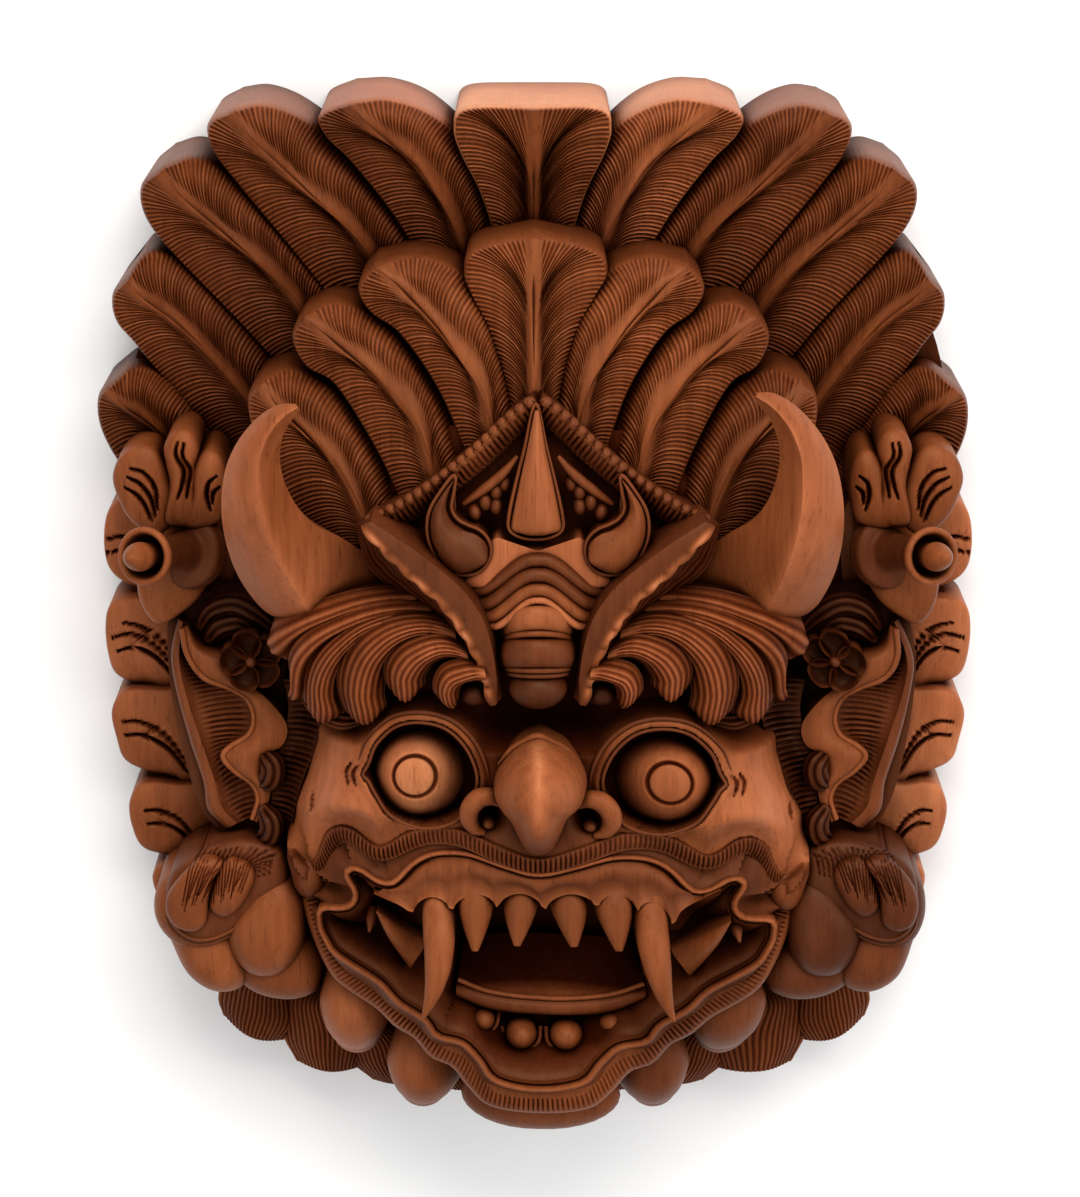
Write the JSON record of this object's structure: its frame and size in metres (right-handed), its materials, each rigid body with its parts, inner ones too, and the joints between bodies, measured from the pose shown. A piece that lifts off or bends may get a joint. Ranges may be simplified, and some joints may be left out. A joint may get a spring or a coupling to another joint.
{
  "type": "barong mask",
  "caption": "Carved wooden guardian-beast mask with a feathered crown, horns, bulging eyes and an open fanged mouth, flat and hollowed at the back.",
  "frame": {"origin": "middle of the flat back, on the surface the mask lies on", "axes": "+X towards the viewer's right across the face, +Y from chin to crown, +Z out of the face"},
  "size_m": [0.421, 0.504, 0.186],
  "materials": {
    "stained_wood": "satin"
  },
  "bodies": {
    "root": {"carved_mask": "stained_wood"}
  },
  "joints": []
}
